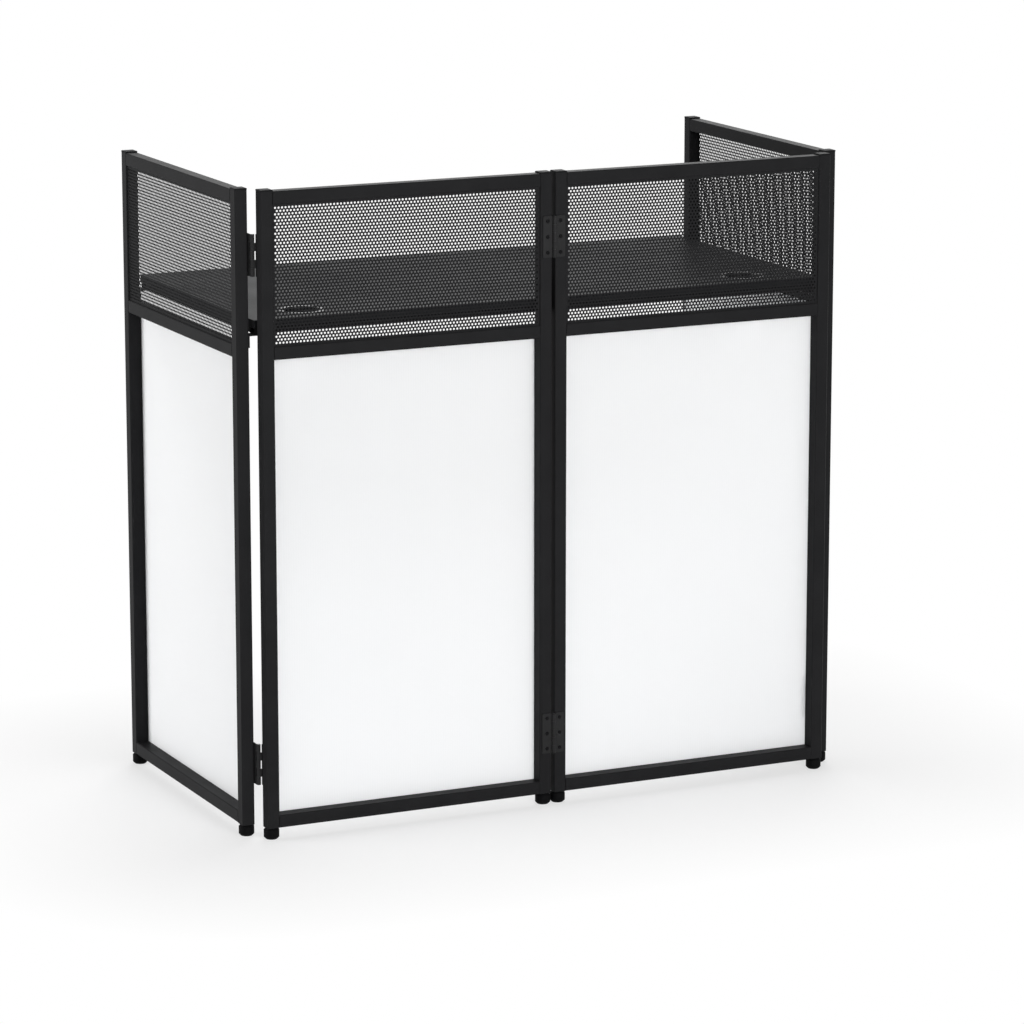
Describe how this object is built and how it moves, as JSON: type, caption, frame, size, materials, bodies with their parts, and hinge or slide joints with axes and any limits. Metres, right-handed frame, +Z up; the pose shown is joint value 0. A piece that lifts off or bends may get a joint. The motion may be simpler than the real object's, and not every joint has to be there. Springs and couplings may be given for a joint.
{
  "type": "dj booth",
  "caption": "Foldable disc jockey booth of hinged black square-tube panels with perforated upper sheets, white stretch scrims below and a lift-off tabletop with cable holes.",
  "frame": {"origin": "middle of the booth's footprint, on the floor", "axes": "+X along the front to the right of someone who faces it, +Y from the front to the user's side, +Z up"},
  "size_m": [1.281, 0.6524, 1.25],
  "materials": {
    "powder_coated_steel": "black satin powder coat",
    "perforated_steel": "black powder-coated perforated sheet",
    "hinge_steel": "black coated pressed steel",
    "pin_steel": "dark drawn steel",
    "cap_plastic": "black moulded polyethylene",
    "foot_rubber": "black moulded rubber",
    "scrim_cloth": "white stretch knit",
    "hook_tape": "black woven hook tape",
    "tabletop_laminate": "black satin laminate on fibreboard",
    "grommet_plastic": "black moulded plastic"
  },
  "bodies": {
    "front_left_panel": {"front_left_centre_upright": "powder_coated_steel", "front_left_outer_upright": "powder_coated_steel", "front_left_bottom_rail": "powder_coated_steel", "front_left_middle_rail": "powder_coated_steel", "front_left_top_rail": "powder_coated_steel", "front_left_mesh": "perforated_steel", "front_left_scrim": "scrim_cloth", "front_left_feet": "foot_rubber", "front_left_hook_tape": "hook_tape", "front_left_caps": "cap_plastic", "centre_hinge_left_leaves": "hinge_steel", "centre_hinge_pins": "pin_steel", "left_corner_hinge_front_leaves": "hinge_steel"},
    "front_right_panel": {"front_right_centre_upright": "powder_coated_steel", "front_right_outer_upright": "powder_coated_steel", "front_right_bottom_rail": "powder_coated_steel", "front_right_middle_rail": "powder_coated_steel", "front_right_top_rail": "powder_coated_steel", "front_right_mesh": "perforated_steel", "front_right_scrim": "scrim_cloth", "front_right_feet": "foot_rubber", "front_right_hook_tape": "hook_tape", "front_right_caps": "cap_plastic", "centre_hinge_right_leaves": "hinge_steel", "right_corner_hinge_front_leaves": "hinge_steel"},
    "left_side_panel": {"left_side_front_upright": "powder_coated_steel", "left_side_rear_upright": "powder_coated_steel", "left_side_bottom_rail": "powder_coated_steel", "left_side_middle_rail": "powder_coated_steel", "left_side_top_rail": "powder_coated_steel", "left_side_mesh": "perforated_steel", "left_side_scrim": "scrim_cloth", "left_side_feet": "foot_rubber", "left_side_hook_tape": "hook_tape", "left_side_caps": "cap_plastic", "left_corner_hinge_side_leaves": "hinge_steel", "left_corner_hinge_pins": "pin_steel", "left_table_brackets": "powder_coated_steel"},
    "right_side_panel": {"right_side_front_upright": "powder_coated_steel", "right_side_rear_upright": "powder_coated_steel", "right_side_bottom_rail": "powder_coated_steel", "right_side_middle_rail": "powder_coated_steel", "right_side_top_rail": "powder_coated_steel", "right_side_mesh": "perforated_steel", "right_side_scrim": "scrim_cloth", "right_side_feet": "foot_rubber", "right_side_hook_tape": "hook_tape", "right_side_caps": "cap_plastic", "right_corner_hinge_side_leaves": "hinge_steel", "right_corner_hinge_pins": "pin_steel", "right_table_brackets": "powder_coated_steel"},
    "tabletop": {"tabletop_board": "tabletop_laminate", "tabletop_front_bar": "powder_coated_steel", "tabletop_rear_bar": "powder_coated_steel", "tabletop_left_bar": "powder_coated_steel", "tabletop_middle_bar": "powder_coated_steel", "tabletop_right_bar": "powder_coated_steel", "cable_grommets": "grommet_plastic"}
  },
  "joints": [
    {"name": "centre_fold", "type": "hinge", "parent": "front_left_panel", "child": "front_right_panel", "pos_m": [0, -0.32225, 0.625], "axis": [0, 0, -1], "range_deg": [0, 180]},
    {"name": "left_side_swing", "type": "hinge", "parent": "front_left_panel", "child": "left_side_panel", "pos_m": [-0.609, -0.28925, 0.625], "axis": [0, 0, 1], "range_deg": [0, 90]},
    {"name": "right_side_swing", "type": "hinge", "parent": "front_right_panel", "child": "right_side_panel", "pos_m": [0.609, -0.28925, 0.625], "axis": [0, 0, -1], "range_deg": [0, 90]},
    {"name": "tabletop_lift", "type": "slide", "parent": "front_left_panel", "child": "tabletop", "axis": [0, 0, 1], "range_m": [0, 0.3]}
  ]
}
